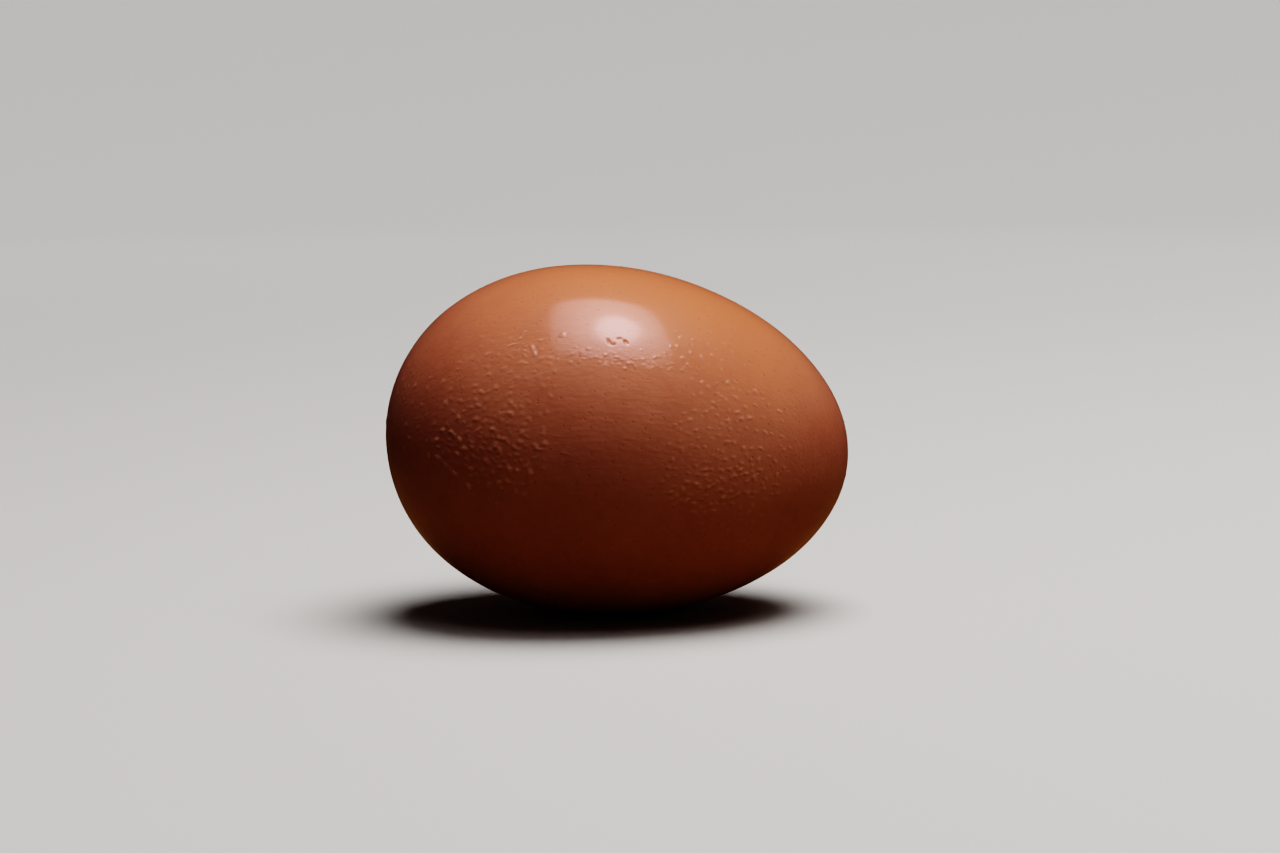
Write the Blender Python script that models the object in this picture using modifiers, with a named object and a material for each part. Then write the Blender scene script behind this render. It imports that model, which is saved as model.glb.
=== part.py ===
"""A whole brown hen's egg, lying on its side.

Metres, +Z up. The long axis runs along X, with the blunt end at -X and the pointed end at +X.
The egg lies as a still egg does, with its pointed end dipping a little. The origin is on the small
flat spot that it rests on, where the round shell would touch a level surface.
"""

import math

import bpy

# The egg
LENGTH = 0.0570                  # from the blunt end to the pointed end
BREADTH = 0.0430                 # across the widest ring
WIDEST_RING = 0.0025             # from mid-length to the widest ring, towards the blunt end
REST_TILT = math.radians(6.2)    # how far the pointed end dips
FLAT_DEPTH = 0.0002              # how much the flat spot takes off the lowest part of the shell

# How finely the curves are cut into flat faces
PROFILE_SEGMENTS = 36
ROUND_STEPS = 64
MERGE_DISTANCE = 0.00001

# The block that cuts the flat spot
BLOCK_WIDTH = 0.020
BLOCK_HEIGHT = 0.005

# The shell's finish
SHELL_COLOUR = (0.55, 0.18, 0.075, 1.0)
SHELL_ROUGHNESS = 0.35


def clear_scene():
    for old in list(bpy.data.objects):
        bpy.data.objects.remove(old, do_unlink=True)


def new_collection(name):
    collection = bpy.data.collections.new(name)
    bpy.context.scene.collection.children.link(collection)
    return collection


def shell_material():
    material = bpy.data.materials.new("eggshell")
    material.use_nodes = True
    shader = material.node_tree.nodes["Principled BSDF"]
    shader.inputs["Base Color"].default_value = SHELL_COLOUR
    shader.inputs["Roughness"].default_value = SHELL_ROUGHNESS
    shader.inputs["Metallic"].default_value = 0.0
    return material


def radius_at(station):
    """Radius of the shell at a station on the long axis, counted from mid-length to the point.

    It is an ellipse's radius over a divisor that moves the widest ring towards the blunt end.
    """
    ellipse = LENGTH ** 2 - 4 * station ** 2
    skew = LENGTH ** 2 + 8 * WIDEST_RING * station + 4 * WIDEST_RING ** 2
    return BREADTH / 2 * math.sqrt(max(ellipse, 0.0) / skew)


def depth_at(station):
    """How far the tilted egg's underside at this station lies below its middle."""
    return station * math.sin(REST_TILT) + radius_at(station) * math.cos(REST_TILT)


def lowest_station():
    """The station whose underside is lowest. The shell is convex, so a ternary search finds it."""
    low = -LENGTH / 2
    high = LENGTH / 2
    while high - low > 1e-9:
        third = (high - low) / 3
        if depth_at(low + third) < depth_at(high - third):
            low += third
        else:
            high -= third
    return (low + high) / 2


def side_profile():
    """Half the egg's outline, from the pointed end at the top down to the blunt end.

    Its stations are even steps of angle, which crowd together where the ends curve most.
    """
    points = []
    for step in range(PROFILE_SEGMENTS + 1):
        station = LENGTH / 2 * math.cos(math.pi * step / PROFILE_SEGMENTS)
        points.append((radius_at(station), 0.0, station))
    return points


def make_egg(collection):
    """Turns the outline about the long axis, then lays the egg down at its resting tilt."""
    points = side_profile()
    edges = [(i, i + 1) for i in range(PROFILE_SEGMENTS)]
    mesh = bpy.data.meshes.new("egg")
    mesh.from_pydata(points, edges, [])
    mesh.materials.append(shell_material())
    egg = bpy.data.objects.new("egg", mesh)
    collection.objects.link(egg)

    turned = egg.modifiers.new("Turned shell", "SCREW")
    turned.axis = "Z"
    turned.angle = math.tau
    turned.steps = ROUND_STEPS
    turned.render_steps = ROUND_STEPS
    turned.use_merge_vertices = True
    turned.merge_threshold = MERGE_DISTANCE
    turned.use_smooth_shade = True

    touching = lowest_station()
    egg.rotation_euler.y = math.pi / 2 + REST_TILT
    egg.location.x = radius_at(touching) * math.sin(REST_TILT) - touching * math.cos(REST_TILT)
    egg.location.z = depth_at(touching) - FLAT_DEPTH
    return egg


def make_block(collection):
    """A block whose top face is the level surface, z = 0."""
    bpy.ops.mesh.primitive_cube_add(
        size=1.0,
        location=(0.0, 0.0, -BLOCK_HEIGHT / 2),
        scale=(BLOCK_WIDTH, BLOCK_WIDTH, BLOCK_HEIGHT),
    )
    block = bpy.context.active_object
    block.name = "flat_spot_block"
    bpy.ops.object.transform_apply(location=False, rotation=False, scale=True)
    for holder in list(block.users_collection):
        holder.objects.unlink(block)
    collection.objects.link(block)
    block.hide_render = True
    block.display_type = "WIRE"
    return block


def cut_flat_spot(egg, block):
    """Takes off the shell below z = 0, so that the egg rests on a small flat face."""
    cut = egg.modifiers.new("Flat spot", "BOOLEAN")
    cut.operation = "DIFFERENCE"
    cut.solver = "EXACT"
    cut.object = block


clear_scene()
whole_egg = make_egg(new_collection("hens_egg"))
cut_flat_spot(whole_egg, make_block(new_collection("cutters")))
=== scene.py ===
import math

import bpy
import numpy as np
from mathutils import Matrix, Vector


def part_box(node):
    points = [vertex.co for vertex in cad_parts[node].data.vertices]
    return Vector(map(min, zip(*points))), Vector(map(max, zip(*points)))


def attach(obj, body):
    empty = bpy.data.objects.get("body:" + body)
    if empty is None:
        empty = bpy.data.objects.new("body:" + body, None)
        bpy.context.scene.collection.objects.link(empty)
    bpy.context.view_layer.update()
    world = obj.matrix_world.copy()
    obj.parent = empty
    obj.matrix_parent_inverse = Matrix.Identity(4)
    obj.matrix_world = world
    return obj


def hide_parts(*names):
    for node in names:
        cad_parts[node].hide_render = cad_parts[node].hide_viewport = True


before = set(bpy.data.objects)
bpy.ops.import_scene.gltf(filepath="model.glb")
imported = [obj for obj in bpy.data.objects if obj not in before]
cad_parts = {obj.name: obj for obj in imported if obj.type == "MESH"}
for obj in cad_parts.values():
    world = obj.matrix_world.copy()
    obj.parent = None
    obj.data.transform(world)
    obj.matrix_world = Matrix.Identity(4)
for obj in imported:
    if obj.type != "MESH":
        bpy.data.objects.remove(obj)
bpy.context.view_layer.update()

# ------------------------------------------------------------------------------------------------
# The egg
# A whole hen's egg on its side: a thin hard shell of brown chalk under a satin bloom, grown in one
# piece round its contents, with patches of hard pimples, a few fine wrinkles, and pores all over.

# The shell is turned about one long axis. It is blunter at one end, and its point dips.
MM = 0.001
LENGTH_TO_BREADTH = 57.0 / 43.0
WIDEST_SHIFT = 2.5 / 57.0           # how far the widest ring is from mid-length, over the length
REST_TILT = math.radians(6.2)       # how far the pointed end dips
BUMP_ROOM = 0.15 * MM               # the smooth shell lies this far inside, to leave room for bumps

low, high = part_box("egg")
BREADTH = high.y - low.y
LENGTH = BREADTH * LENGTH_TO_BREADTH
WIDEST = LENGTH * WIDEST_SHIFT
ALONG = np.array([math.cos(REST_TILT), 0.0, -math.sin(REST_TILT)])    # to the pointed end
NEAR = np.array([0.0, -1.0, 0.0])                                     # a turn of 0 degrees
ABOVE = np.array([math.sin(REST_TILT), 0.0, math.cos(REST_TILT)])     # a turn of 90 degrees


def shell_profile(station):
    """The shell's radius, and its outward normal's two parts: along the axis, and away from it.

    The radius is an ellipse's, over a divisor that moves the widest ring to the blunt end.
    """
    ellipse = np.maximum(LENGTH ** 2 - 4 * station ** 2, 0.0)
    skew = LENGTH ** 2 + 8 * WIDEST * station + 4 * WIDEST ** 2
    radius = BREADTH / 2 * np.sqrt(ellipse / skew)
    lengthwise = BREADTH ** 2 * (station * skew + WIDEST * ellipse) / skew ** 2
    size = np.hypot(lengthwise, radius)
    return radius, lengthwise / size, radius / size


# The egg's middle: from there, the profile's furthest points along X and Z just touch the CAD box.
stations = LENGTH / 2 * np.cos(np.linspace(0.0, math.pi, 2001))
radii, _, _ = shell_profile(stations)
reach_x = (stations * ALONG[0] + radii * ABOVE[0]).max()
reach_z = (stations * ALONG[2] + radii * ABOVE[2]).max()
MIDDLE = np.array([high.x - reach_x, (low.y + high.y) / 2, high.z - reach_z])


def on_shell(ways):
    """Places and outward normals on the smooth shell, for unit directions (along, near, above)."""
    station = LENGTH / 2 * ways[:, :1]
    around = ways[:, 1:] / np.maximum(np.linalg.norm(ways[:, 1:], axis=1), 1e-9)[:, None]
    ring = around[:, :1] * NEAR + around[:, 1:] * ABOVE
    radius, lengthwise, outward = shell_profile(station)
    places = MIDDLE + station * ALONG + radius * ring
    return places, lengthwise * ALONG + outward * ring


def way_to(place):
    """The unit direction whose point on the shell is next to a place."""
    offset = place - MIDDLE
    along = np.clip(offset @ ALONG / (LENGTH / 2), -0.9999, 0.9999)
    around = np.array([offset @ NEAR, offset @ ABOVE])
    around = around / np.linalg.norm(around) * math.sqrt(1 - along ** 2)
    return np.array([along, around[0], around[1]])


def spot(station, turn):
    """The place and normal on the shell at a station, in millimetres, and a turn, in degrees."""
    along = station * MM / (LENGTH / 2)
    away = math.sqrt(1 - along ** 2)
    turn = math.radians(turn)
    way = np.array([[along, away * math.cos(turn), away * math.sin(turn)]])
    places, normals = on_shell(way)
    return places[0], normals[0]


# The marks: low rises and shallow grooves of the shell itself, each with a place, a half length
# and half width, its angle from the egg's length, and a height, below zero for a groove.

PATCH_RAGGEDNESS = 0.18             # how far a mark's outline strays, over its size
SINGLE_RAGGEDNESS = 0.08
TRIES = 40                          # attempts for each mark before a patch counts as full
STRAY = 1.15                        # how far out the last marks may lie, over a patch's half extent
SMALLEST = 0.70                     # the smallest half size in a patch, over the patch's own
SIZE_RANGE = 0.55                   # what the largest has on top of that
HEIGHT_RANGE = (0.6, 1.2)           # the lowest and highest mark, over what its size asks for

dice = np.random.default_rng(7)
marks = []


def flat_axes(normal):
    """Two directions along the shell: towards the pointed end, and round the egg upwards."""
    lengthwise = ALONG - (ALONG @ normal) * normal
    if np.linalg.norm(lengthwise) < 1e-3:
        lengthwise = ABOVE
    lengthwise = lengthwise / np.linalg.norm(lengthwise)
    return lengthwise, np.cross(normal, lengthwise)


def add_mark(place, normal, half_length, half_width, angle, height, raggedness):
    lengthwise, crosswise = flat_axes(normal)
    angle = math.radians(angle)
    marks.append({
        "place": place,
        "long_axis": math.cos(angle) * lengthwise + math.sin(angle) * crosswise,
        "short_axis": math.cos(angle) * crosswise - math.sin(angle) * lengthwise,
        "half_length": half_length * MM,
        "half_width": half_width * MM,
        "height": height * MM,
        "raggedness": raggedness,
        "phases": dice.uniform(0, math.tau, 2),
    })


def scatter(station, turn, half_along, half_round, count, spacing, half_size, height, stretch,
            least_angle, most_angle):
    """Drops marks at random over an oval patch, thinning towards its rim, none too close."""
    centre, normal = spot(station, turn)
    lengthwise, crosswise = flat_axes(normal)
    taken = []
    for _ in range(TRIES * count):
        if len(taken) == count:
            break
        distance = STRAY * dice.beta(2.0, 1.5)
        bearing = dice.uniform(0, math.tau)
        guess = (centre + lengthwise * half_along * MM * distance * math.cos(bearing)
                 + crosswise * half_round * MM * distance * math.sin(bearing))
        places, normals = on_shell(way_to(guess)[None])
        half = half_size * (SMALLEST + SIZE_RANGE * dice.uniform() ** 1.5)  # mostly small ones
        room = spacing * MM * half / half_size
        if any(np.linalg.norm(places[0] - other) < room for other in taken):
            continue
        taken.append(places[0])
        longer = 1.0 + (stretch - 1.0) * dice.uniform() ** 2    # mostly round ones
        angle = dice.uniform(least_angle, most_angle)
        rise = height * (half / half_size) ** 0.8 * dice.uniform(*HEIGHT_RANGE)
        add_mark(places[0], normals[0], half * longer, half / math.sqrt(longer), angle, rise,
                 PATCH_RAGGEDNESS)


# Each patch: its station, turn, and half extents along and round; its number of marks, their
# spacing, half size and height; how much longer than wide they get; the range of their angles.
for patch in (
    # the blunt end's patch on the near side
    (-16.7, 0, 6.8, 7.0, 112, 0.90, 0.40, 0.054, 1.3, -70, 30),
    (-17.2, -5, 6.4, 3.6, 50, 0.95, 0.40, 0.078, 1.3, -45, 10),
    (-15.5, 23, 7.0, 7.0, 70, 1.10, 0.46, 0.042, 1.4, -70, 30),
    # the pointed end's patch on the near side, and the marks above it
    (11.2, -1, 7.8, 11.5, 205, 0.74, 0.33, 0.055, 1.5, -40, 40),
    (8.5, 37, 5.0, 5.5, 40, 0.90, 0.28, 0.058, 2.0, 40, 110),
    # a small tangled cluster, a belt of ragged bumps under the top, and faint streaks below it
    (-13.3, 37.4, 1.9, 2.2, 18, 0.45, 0.22, 0.075, 4.0, -120, 20),
    (-1.5, 34, 9.5, 1.3, 80, 0.36, 0.20, 0.046, 2.0, -90, 90),
    (-2.0, 15, 9.0, 7.0, 26, 1.40, 0.42, 0.014, 4.0, -12, 12),
    # the far side, the underside and the ends
    (-19.0, 160, 7.0, 9.0, 85, 0.90, 0.38, 0.056, 1.3, -90, 90),
    (8.0, 172, 10.0, 8.0, 80, 0.85, 0.33, 0.055, 1.4, -90, 90),
    (-3.0, -75, 9.0, 8.0, 45, 1.00, 0.35, 0.054, 1.4, -90, 90),
    (17.0, -110, 7.0, 7.0, 30, 0.90, 0.30, 0.050, 1.4, -90, 90),
    (-27.0, 20, 8.0, 8.0, 30, 1.10, 0.38, 0.050, 1.4, -90, 90),
    (27.5, 30, 6.0, 6.0, 18, 1.00, 0.28, 0.045, 1.4, -90, 90),
    # thin scatterings over the top and the lower far side
    (2.0, 100, 16.0, 12.0, 30, 2.00, 0.30, 0.042, 1.4, -90, 90),
    (-8.0, -150, 14.0, 10.0, 30, 1.90, 0.32, 0.046, 1.4, -90, 90),
    # a few more low down in the pointed end's patch
    (10.3, -7, 5.2, 2.8, 38, 0.80, 0.34, 0.060, 1.5, -40, 40),
):
    scatter(*patch)

# Single marks: station, turn, half length, half width, angle, height.
for station, turn, *shape in (
    # a lone pimple near the top
    (-9.0, 41.5, 0.50, 0.40, 55, 0.075),
    # two short ridges beside the blunt end's patch, and a high one in the cluster
    (-10.8, 2.1, 0.85, 0.20, 4, 0.050),
    (-7.8, 1.7, 0.75, 0.15, -8, 0.040),
    (-12.1, 34.7, 0.45, 0.19, -78, 0.120),
    # two hooked wrinkles
    (-3.60, 39.45, 0.65, 0.19, -62, -0.130),
    (-3.06, 38.50, 0.36, 0.17, 44, -0.120),
    (-2.39, 40.95, 0.40, 0.17, 9, -0.110),
    (-1.63, 39.90, 0.62, 0.19, -48, -0.120),
):
    add_mark(*spot(station, turn), *shape, SINGLE_RAGGEDNESS)

# The mesh: a cube's six grids, blown up to a ball, refined round the marks, and laid on the shell.

GRID = 60                            # faces along each edge of the cube
REFINEMENTS = (0.7 * MM, 0.25 * MM)  # how far past a mark's rim each halving of the faces reaches


def read_points(mesh):
    flat = np.empty(3 * len(mesh.vertices))
    mesh.vertices.foreach_get("co", flat)
    return flat.reshape(-1, 3)


def write_points(mesh, points):
    mesh.vertices.foreach_set("co", points.ravel())
    mesh.update()


def unit(vectors):
    return vectors / np.linalg.norm(vectors, axis=1)[:, None]


bpy.ops.object.select_all(action="DESELECT")
bpy.ops.mesh.primitive_cube_add(size=2)
shell = bpy.context.active_object
shell.name = "eggshell"
bpy.ops.object.mode_set(mode="EDIT")
bpy.ops.mesh.select_all(action="SELECT")
bpy.ops.mesh.subdivide(number_cuts=GRID - 1)
bpy.ops.object.mode_set(mode="OBJECT")
write_points(shell.data, unit(np.tan(math.pi / 4 * read_points(shell.data))))

for reach in REFINEMENTS:
    centres = np.empty(3 * len(shell.data.polygons))
    shell.data.polygons.foreach_get("center", centres)
    places, _ = on_shell(unit(centres.reshape(-1, 3)))
    chosen = np.zeros(len(places), bool)
    for mark in marks:
        gap = np.linalg.norm(places - mark["place"], axis=1)
        chosen |= gap < mark["half_length"] + reach
    bpy.ops.object.mode_set(mode="EDIT")
    bpy.ops.mesh.select_all(action="DESELECT")
    bpy.ops.object.mode_set(mode="OBJECT")
    shell.data.polygons.foreach_set("select", chosen)
    bpy.ops.object.mode_set(mode="EDIT")
    bpy.ops.mesh.subdivide(number_cuts=1, ngon=False)
    bpy.ops.object.mode_set(mode="OBJECT")
    write_points(shell.data, unit(read_points(shell.data)))

# The egg's own directions (along, near, above) are left-handed, so the faces are turned outwards.
bpy.ops.object.mode_set(mode="EDIT")
bpy.ops.mesh.select_all(action="SELECT")
bpy.ops.mesh.flip_normals()
bpy.ops.object.mode_set(mode="OBJECT")

# The relief, measured outwards from the CAD surface: gentle unevenness all over, then the marks.

MARK_REACH = 1.6                    # a mark lies wholly inside this, over its half length
ROUNDNESS = 1.8                     # how softly a mark runs out into the shell round it
PALE_HEIGHT = 0.10 * MM             # a pimple this high has the palest top, with the most painted highlight

places, normals = on_shell(read_points(shell.data))
relief = np.full(len(places), -BUMP_ROOM)


def swell(wave_length, height, count):
    """A sum of waves that run in random directions, its sizes in millimetres."""
    total = np.zeros(len(places))
    for _ in range(count):
        heading = unit(dice.normal(size=(1, 3)))[0]
        step = math.tau / (wave_length * MM * dice.uniform(0.75, 1.3))
        total += np.sin(step * (places @ heading) + dice.uniform(0, math.tau))
    return height * MM / math.sqrt(count / 2) * total


relief += swell(wave_length=14.0, height=0.012, count=9)
relief += swell(wave_length=4.0, height=0.003, count=14)

# This mask is 1 on the top of the highest pimples, where the pigment is thin and a highlight is
# painted on, and -1 deep in a groove, where shade is painted in.
chalk_highlight_and_shade = np.zeros(len(places))
for mark in marks:
    offset = places - mark["place"]
    furthest = MARK_REACH * mark["half_length"]
    near = np.flatnonzero(np.einsum("ij,ij->i", offset, offset) < furthest ** 2)
    long_way = offset[near] @ mark["long_axis"] / mark["half_length"]
    short_way = offset[near] @ mark["short_axis"] / mark["half_width"]
    bearing = np.arctan2(short_way, long_way)
    edge = (1 + mark["raggedness"] * np.sin(2 * bearing + mark["phases"][0])
            + 0.6 * mark["raggedness"] * np.sin(3 * bearing + mark["phases"][1]))
    inside = np.clip(1 - (long_way ** 2 + short_way ** 2) / edge ** 2, 0, None)
    relief[near] += mark["height"] * inside ** ROUNDNESS
    # pale tops are partly chalk and partly a painted highlight; grooves get painted shade
    if mark["height"] > 0:
        paleness = min(mark["height"] / PALE_HEIGHT, 1.0) ** 2
        chalk_highlight_and_shade[near] = np.maximum(chalk_highlight_and_shade[near], inside * paleness)
    else:
        chalk_highlight_and_shade[near] = np.minimum(chalk_highlight_and_shade[near], -inside)

# No bump stands past the CAD surface, and the flat spot on which the egg lies stays flat.
places = places + np.minimum(relief, 0.0)[:, None] * normals
places[:, 2] = np.maximum(places[:, 2], low.z)
write_points(shell.data, places)
shell.data.shade_smooth()
shell.data.attributes.new("chalk_highlight_and_shade", "FLOAT", "POINT").data.foreach_set("value", chalk_highlight_and_shade)

# The finish: pigment in and on the shell, with painted light on top and painted shade in pits and
# grooves, under the thin clear bloom that gives the satin gloss.

DEEP_BROWN = (0.49, 0.146, 0.077, 1.0)      # the blunt end
FAIR_BROWN = (0.61, 0.222, 0.122, 1.0)      # towards the pointed end
PAINTED_LIGHT_BROWN = (0.65, 0.190, 0.082, 1.0)    # the top: a painted warm light where the lamps above fall
PALE_CHALK_AND_HIGHLIGHT = (0.86, 0.44, 0.32, 1.0)        # the tops of the pimples: pale chalk, and a painted highlight
PAINTED_SHADE_BROWN = (0.20, 0.055, 0.022, 1.0)      # painted shade in the pores and grooves
PAINTED_LIGHT_STARTS = 14.0 * MM                     # the height over the long axis where the painted top light starts
PAINTED_LIGHT_IS_FULL = 28.0 * MM
PORE_SPACING = 1.0 * MM
PORE_DEPTH = 0.016 * MM
COARSE_PEEL = 0.016 * MM                    # the heights of the skin's unevenness
FINE_PEEL = 0.012 * MM
STREAK_HEIGHT = 0.031 * MM
TOOTH_HEIGHT = 0.0015 * MM
DRAWN_OUT = (0.38, 1.0, 1.0)                # streaks are stretched along X, by 1 over 0.38


class Value:
    """A shader socket that takes part in sums. Each sum adds its own Math node."""

    def __init__(self, nodes, socket):
        self.nodes = nodes
        self.socket = socket

    def math(self, operation, *others):
        return self.nodes.add("Math", {"operation": operation}, [self, *others])

    def __add__(self, other):
        return self.math("ADD", other)

    def __sub__(self, other):
        return self.math("SUBTRACT", other)

    def __rsub__(self, other):
        return self.nodes.add("Math", {"operation": "SUBTRACT"}, [other, self])

    def __mul__(self, other):
        return self.math("MULTIPLY", other)

    def __truediv__(self, other):
        return self.math("DIVIDE", other)

    def __rtruediv__(self, other):
        return self.nodes.add("Math", {"operation": "DIVIDE"}, [other, self])

    __radd__ = __add__
    __rmul__ = __mul__


class Nodes:
    """The nodes of a material, light or world, added by type, settings, and values or links."""

    def __init__(self, owner):
        owner.use_nodes = True
        self.tree = owner.node_tree
        shaders = ("Principled BSDF", "Emission", "Background")
        self.shader = next(self.tree.nodes[name] for name in shaders if name in self.tree.nodes)

    def put(self, node, values):
        named = values.items() if isinstance(values, dict) else enumerate(values)
        for name, value in named:
            if isinstance(value, Value):
                self.tree.links.new(value.socket, node.inputs[name])
            else:
                node.inputs[name].default_value = value

    def add(self, kind, settings, values, output=0):
        node = self.tree.nodes.new("ShaderNode" + kind)
        for name, setting in settings.items():
            setattr(node, name, setting)
        self.put(node, values)
        return Value(self, node.outputs[output])

    def ramp(self, value, start, end, from_value=0.0, to_value=1.0, curve="LINEAR"):
        """Goes from one value to the other while its input goes from start to end."""
        return self.add("MapRange", {"clamp": True, "interpolation_type": curve}, {
            "Value": value, "From Min": start, "From Max": end,
            "To Min": from_value, "To Max": to_value})

    def mix(self, factor, first, second):
        return self.add("Mix", {"data_type": "RGBA"},
                        {"Factor": factor, "A": first, "B": second}, "Result")


def eggshell_finish():
    """Satin brown shell: cloudy pigment, redder at the blunt end, with pores and a fine grain."""
    finish = bpy.data.materials.new("eggshell_satin")
    nodes = Nodes(finish)
    here = nodes.add("TexCoord", {}, {}, "Object")

    def noise(wave_length, detail=2.0, roughness=0.5, at=here):
        return nodes.add("TexNoise", {}, {
            "Vector": at, "Scale": 1 / (wave_length * MM), "Detail": detail,
            "Roughness": roughness}, "Fac")

    def distance_towards(direction):
        return nodes.add("VectorMath", {"operation": "DOT_PRODUCT"},
                         [here, tuple(direction)], "Value")

    # the pigment: fairer towards the pointed end, but not at its tip; and painted warm light on top
    along = nodes.ramp(distance_towards(ALONG), -LENGTH / 2, LENGTH / 2)
    fairer = nodes.ramp(along, 0.0, 0.74) - nodes.ramp(along, 0.74, 0.95) * 0.9
    clouds = nodes.ramp(noise(wave_length=9.0, detail=3.0, roughness=0.55), 0.3, 0.7)
    mottle = nodes.ramp(noise(wave_length=1.6, detail=3.0, roughness=0.6), 0.3, 0.7)
    blend = fairer * 0.50 + clouds * 0.35 + mottle * 0.20
    brown = nodes.mix(nodes.ramp(blend, 0.2, 0.87), DEEP_BROWN, FAIR_BROWN)
    # painted light: warmer the higher the shell lies over the long axis, where the lamps above fall
    above = distance_towards(ABOVE) - float(MIDDLE @ ABOVE)
    painted_top_light = above + fairer * (8.0 * MM) + clouds * (3.0 * MM)
    brown = nodes.mix(nodes.ramp(painted_top_light, PAINTED_LIGHT_STARTS, PAINTED_LIGHT_IS_FULL), brown, PAINTED_LIGHT_BROWN)

    # painted shade in the pores and grooves, and pale pimple tops: chalk with a painted highlight
    pore_distance = nodes.add("TexVoronoi", {"feature": "F1"}, {
        "Vector": here, "Scale": 1 / PORE_SPACING, "Randomness": 1.0}, "Distance")
    pore = nodes.ramp(pore_distance, 0.04, 0.21, 1.0, 0.0)
    # painted shade in each pore's pit
    brown = nodes.mix(pore * 0.30, brown, PAINTED_SHADE_BROWN)
    chalk_highlight_and_shade = nodes.add("Attribute", {"attribute_name": "chalk_highlight_and_shade"}, {}, "Fac")
    brown = nodes.mix(nodes.ramp(chalk_highlight_and_shade, 0.0, 1.0, 0.0, 0.60), brown, PALE_CHALK_AND_HIGHLIGHT)
    # painted shade deep in the grooves
    brown = nodes.mix(nodes.ramp(chalk_highlight_and_shade, 0.0, -1.0, 0.0, 0.22), brown, PAINTED_SHADE_BROWN)

    # the skin: two sizes of peel, streaks drawn out along the egg, a fine tooth, and the pores
    drawn_out = nodes.add("VectorMath", {"operation": "MULTIPLY"}, [here, DRAWN_OUT])
    streaks = noise(wave_length=0.5, roughness=0.55, at=drawn_out)
    tooth = noise(wave_length=0.35, detail=3.0, roughness=0.6)
    height = (noise(wave_length=1.3) * COARSE_PEEL + noise(wave_length=0.7) * FINE_PEEL
              + streaks * STREAK_HEIGHT + tooth * TOOTH_HEIGHT - pore * PORE_DEPTH)
    bump = nodes.add("Bump", {}, {"Strength": 1.0, "Distance": 1.0, "Height": height})

    nodes.put(nodes.shader, {
        "Base Color": brown,
        "Roughness": 0.50 + tooth * 0.10 + mottle * 0.05,
        "Normal": bump,
        "Specular IOR Level": 0.22,
        "IOR": 1.5,
        "Coat Weight": 0.8,
        "Coat Roughness": 0.125,
        "Coat IOR": 1.5,
    })
    return finish


shell.data.materials.clear()
shell.data.materials.append(eggshell_finish())
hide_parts("egg")
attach(shell, "root")

# ------------------------------------------------------------------------------------------------
# The floor
# A plain pale studio floor of matt paper that curves up into a plain pale wall all round. Far from
# the egg it glows a little: painted light. The egg isn't lit by it, and doesn't reflect it.

FLOOR_RADIUS = 1.3
WALL_HEIGHT = 1.5
COVE = 0.45                         # the radius of the curve between floor and wall
FLOOR_DROP = 0.05 * MM              # the gap between the egg's flat spot and the floor
PALE_PAPER = (0.66, 0.66, 0.66, 1.0)
PAINTED_PAPER_LIGHT = (0.38, 0.375, 0.365, 1.0)
NO_GLOW = (0.0, 0.0, 0.0, 1.0)

# A drum: its top is taken off, its bottom rim is rounded, and its faces are turned inwards.
bpy.ops.object.select_all(action="DESELECT")
bpy.ops.mesh.primitive_cylinder_add(
    vertices=96, radius=FLOOR_RADIUS, depth=WALL_HEIGHT,
    location=(MIDDLE[0], MIDDLE[1], low.z - FLOOR_DROP + WALL_HEIGHT / 2))
floor = bpy.context.active_object
floor.name = "studio_floor"
bpy.ops.object.transform_apply(location=True, rotation=True, scale=True)
bpy.ops.object.mode_set(mode="EDIT")
bpy.ops.mesh.select_all(action="DESELECT")
bpy.ops.object.mode_set(mode="OBJECT")
for face in floor.data.polygons:
    face.select = face.normal.z > 0.9
bpy.ops.object.mode_set(mode="EDIT")
bpy.ops.mesh.delete(type="FACE")
bpy.ops.object.mode_set(mode="OBJECT")
for edge in floor.data.edges:
    edge.select = all(floor.data.vertices[i].co.z < WALL_HEIGHT / 2 for i in edge.vertices)
bpy.ops.object.mode_set(mode="EDIT")
bpy.ops.mesh.select_mode(type="EDGE")
bpy.ops.mesh.bevel(offset=COVE, segments=24)
bpy.ops.mesh.select_all(action="SELECT")
bpy.ops.mesh.flip_normals()
bpy.ops.object.mode_set(mode="OBJECT")
floor.data.shade_smooth()


def distance_from(nodes, centre):
    here = nodes.add("TexCoord", {}, {}, "Object")
    return nodes.add("VectorMath", {"operation": "DISTANCE"}, [here, centre], "Value")


pale_paper = bpy.data.materials.new("pale_paper")
paper = Nodes(pale_paper)
# painted light: the paper glows more the further it lies from the egg
far = paper.ramp(distance_from(paper, (0.0, 0.0, 0.0)), 0.08, FLOOR_RADIUS - COVE,
                 curve="SMOOTHSTEP")
paper.put(paper.shader, {
    "Base Color": PALE_PAPER,
    "Roughness": 0.9,
    "Specular IOR Level": 0.1,
    "Emission Color": paper.mix(far, NO_GLOW, PAINTED_PAPER_LIGHT),
    "Emission Strength": 1.0,
})
floor.data.materials.append(pale_paper)
floor.visible_diffuse = False
floor.visible_glossy = False
floor.visible_shadow = False        # the lights reach the bounce sheet through the floor

# ------------------------------------------------------------------------------------------------
# The bounce sheet
# A dark warm sheet of matt card just under the floor. The camera doesn't see it, and it gives the
# egg's lower half the weak warm bounce of a wooden table, strongest just in front of the egg.

SHEET_DROP = 0.10 * MM
WARM_CARD = (0.155, 0.071, 0.014, 1.0)
DARK_CARD = (0.030, 0.011, 0.004, 1.0)
WARM_PLACE = (0.02, -0.06, 0.0)

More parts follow.
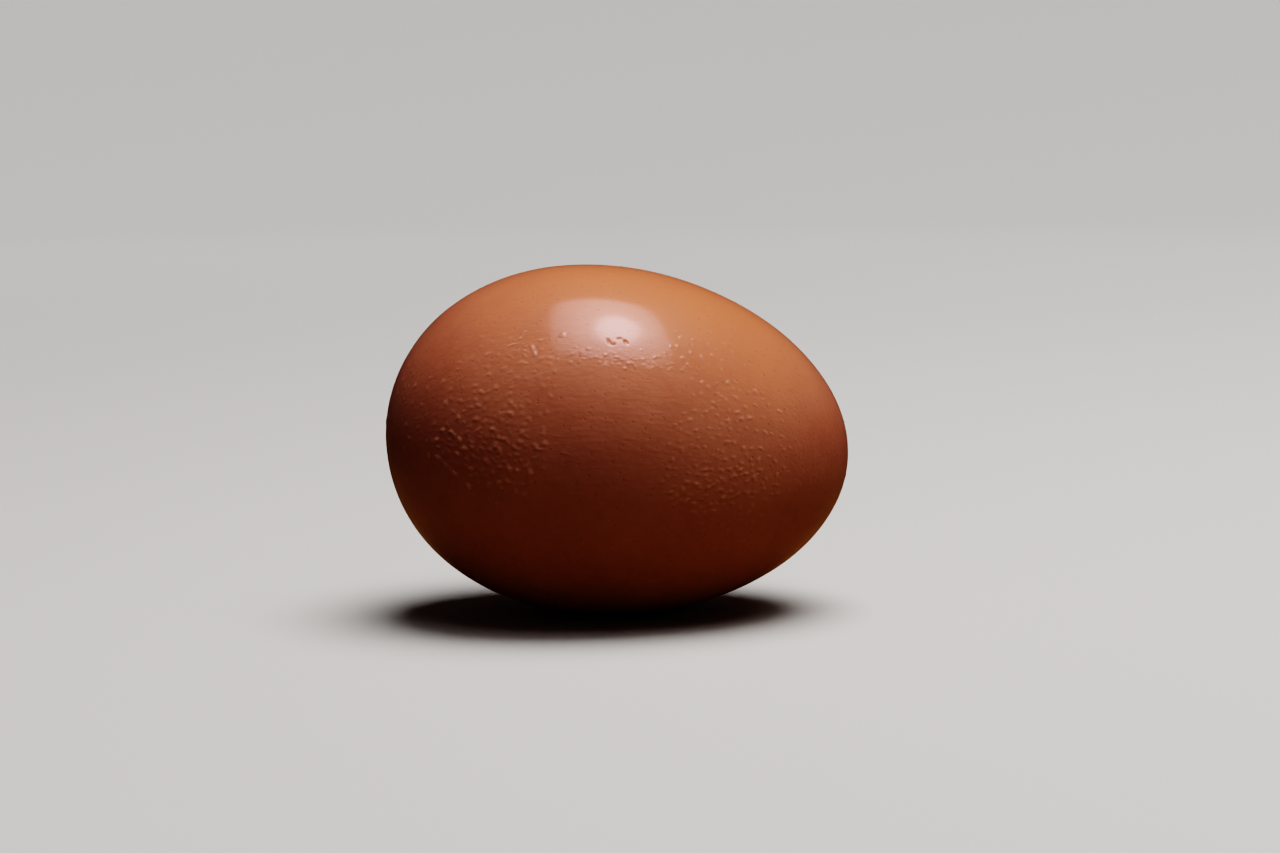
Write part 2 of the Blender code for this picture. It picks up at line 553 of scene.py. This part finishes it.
bpy.ops.object.select_all(action="DESELECT")
bpy.ops.mesh.primitive_circle_add(
    vertices=96, radius=FLOOR_RADIUS - COVE, fill_type="NGON",
    location=(MIDDLE[0], MIDDLE[1], low.z - SHEET_DROP))
sheet = bpy.context.active_object
sheet.name = "bounce_sheet"
bpy.ops.object.transform_apply(location=True, rotation=True, scale=True)
bounce_card = bpy.data.materials.new("bounce_card")
card = Nodes(bounce_card)
far = card.ramp(distance_from(card, WARM_PLACE), 0.03, 0.22, curve="SMOOTHSTEP")
card.put(card.shader, {
    "Base Color": card.mix(far, WARM_CARD, DARK_CARD),
    "Roughness": 0.8,
    "Specular IOR Level": 0.1,
})
sheet.data.materials.append(bounce_card)
sheet.visible_camera = False

# ------------------------------------------------------------------------------------------------
# The light
# A soft box overhead makes the squarish highlight, and shows only in the gloss. Three plain soft
# lights make only the matt shading: a round key, a wide fill, and a weak one out to the right.

# Places are measured from the egg's middle, and beyond is away from the camera. No two lights hang
# at the same height.
LIGHT_HEIGHT = 0.60
BOX_WIDTH = 0.60
BOX_DEPTH = 0.62
BOX_RIGHT = 0.13
BOX_BEYOND = -0.07
CLOTH_RIGHT = 0.07                  # the middle of the cloth's lit part
CLOTH_BEYOND = -0.061
CLOTH_HALF_WIDTH = 0.19
CLOTH_HALF_DEPTH = 0.283
CLOTH_LEAN = 0.09                   # how far its middle moves left, over the way beyond
CLOTH_TAPER = 0.22                  # how much its half width loses, over the way beyond
CLOTH_SQUARENESS = 5.0              # 2 would be an oval
BULB_RIGHT = 0.108
BULB_BEYOND = -0.08
BULB_HALF_WIDTH = 0.105
BULB_HALF_DEPTH = 0.17
PINK_WHITE = (1.0, 0.65, 0.70)
WARM_WHITE = (1.0, 0.96, 0.92)


def soft_light(name, shape, size, offset, power, colour):
    lamp = bpy.data.lights.new(name, "AREA")
    lamp.shape = shape
    lamp.size, lamp.size_y = size
    lamp.energy = power
    lamp.color = colour
    light = bpy.data.objects.new(name, lamp)
    light.location = MIDDLE + np.array(offset)
    light.visible_camera = False
    bpy.context.scene.collection.objects.link(light)
    return light


soft_box = soft_light("soft_box", "RECTANGLE", size=(BOX_WIDTH, BOX_DEPTH),
                      offset=(BOX_RIGHT, BOX_BEYOND, LIGHT_HEIGHT), power=3.3, colour=PINK_WHITE)
soft_box.visible_diffuse = False
lamp = Nodes(soft_box.data)
place = lamp.add("NewGeometry", {}, {}, "Parametric")
right = (lamp.add("SeparateXYZ", {}, [place], "X") - 0.5) * BOX_WIDTH + BOX_RIGHT
beyond = (lamp.add("SeparateXYZ", {}, [place], "Y") - 0.5) * BOX_DEPTH + BOX_BEYOND

# The cloth's lit part is a leaning, tapering square with round corners. It fades to the right.
across = (right - (CLOTH_RIGHT - beyond * CLOTH_LEAN)) / (CLOTH_HALF_WIDTH - beyond * CLOTH_TAPER)
along = (beyond - CLOTH_BEYOND) / CLOTH_HALF_DEPTH
rim = (across.math("ABSOLUTE").math("POWER", CLOTH_SQUARENESS)
       + along.math("ABSOLUTE").math("POWER", CLOTH_SQUARENESS))
inside = lamp.ramp(rim, 0.75, 1.15, 1.0, 0.0, curve="SMOOTHSTEP")
fade = lamp.ramp(across, 0.4, 1.05, 1.0, 0.6, curve="SMOOTHSTEP")

# The bulb behind the cloth makes an oval hot spot, with a wide glow round that.
bulb_across = (right - BULB_RIGHT) / BULB_HALF_WIDTH
bulb_along = (beyond - BULB_BEYOND) / BULB_HALF_DEPTH
from_bulb = (bulb_across * bulb_across + bulb_along * bulb_along).math("SQRT")
hot = lamp.ramp(from_bulb, 0.45, 0.90, 3.8, 0.0, curve="SMOOTHSTEP")
glow = lamp.ramp(from_bulb, 0.5, 2.4, 1.2, 0.0, curve="SMOOTHSTEP")
lamp.put(lamp.shader, {"Strength": inside * (fade + glow + hot)})

key = soft_light("key_light", "DISK", size=(0.50, 0.50), offset=(0.15, 0.02, LIGHT_HEIGHT + 0.04),
                 power=4.5, colour=WARM_WHITE)
fill = soft_light("fill_light", "RECTANGLE", size=(0.42, 0.60),
                  offset=(0.10, -0.20, LIGHT_HEIGHT + 0.08), power=1.2, colour=WARM_WHITE)
side = soft_light("side_light", "DISK", size=(0.25, 0.25),
                  offset=(0.37, -0.14, LIGHT_HEIGHT - 0.02), power=0.26, colour=WARM_WHITE)
side.rotation_euler = (math.radians(-13), math.radians(32), 0.0)
for light in (key, fill, side):
    light.visible_glossy = False

# A trace of even light comes from all round.
world = bpy.data.worlds.new("studio_fill")
air = Nodes(world)
air.put(air.shader, {"Color": (*WARM_WHITE, 1.0), "Strength": 0.01})
bpy.context.scene.world = world
bpy.context.scene.view_settings.view_transform = "Filmic"
bpy.context.scene.view_settings.look = "High Contrast"

# ------------------------------------------------------------------------------------------------
# The camera
# A portrait lens low over the floor, a little to the left of square on, looking slightly down. It
# is aimed a little to the right of the egg's middle and above it.

AZIMUTH = math.radians(-4.5)
ELEVATION = math.radians(7.0)
ROLL = math.radians(0.55)
DISTANCE = 0.3697
AIM = MIDDLE + np.array([2.72, 0.0, 1.81]) * MM

lens = bpy.data.cameras.new("camera")
lens.lens = 85.0
lens.sensor_width = 36.0
lens.clip_start = 0.02
lens.clip_end = 10.0
camera = bpy.data.objects.new("camera", lens)
back = np.array([math.sin(AZIMUTH) * math.cos(ELEVATION),
                 -math.cos(AZIMUTH) * math.cos(ELEVATION),
                 math.sin(ELEVATION)])
camera.location = AIM + DISTANCE * back
camera.rotation_euler = (math.pi / 2 - ELEVATION, 0.0, AZIMUTH)
camera.rotation_euler.rotate_axis("Z", -ROLL)
bpy.context.scene.collection.objects.link(camera)
bpy.context.scene.camera = camera
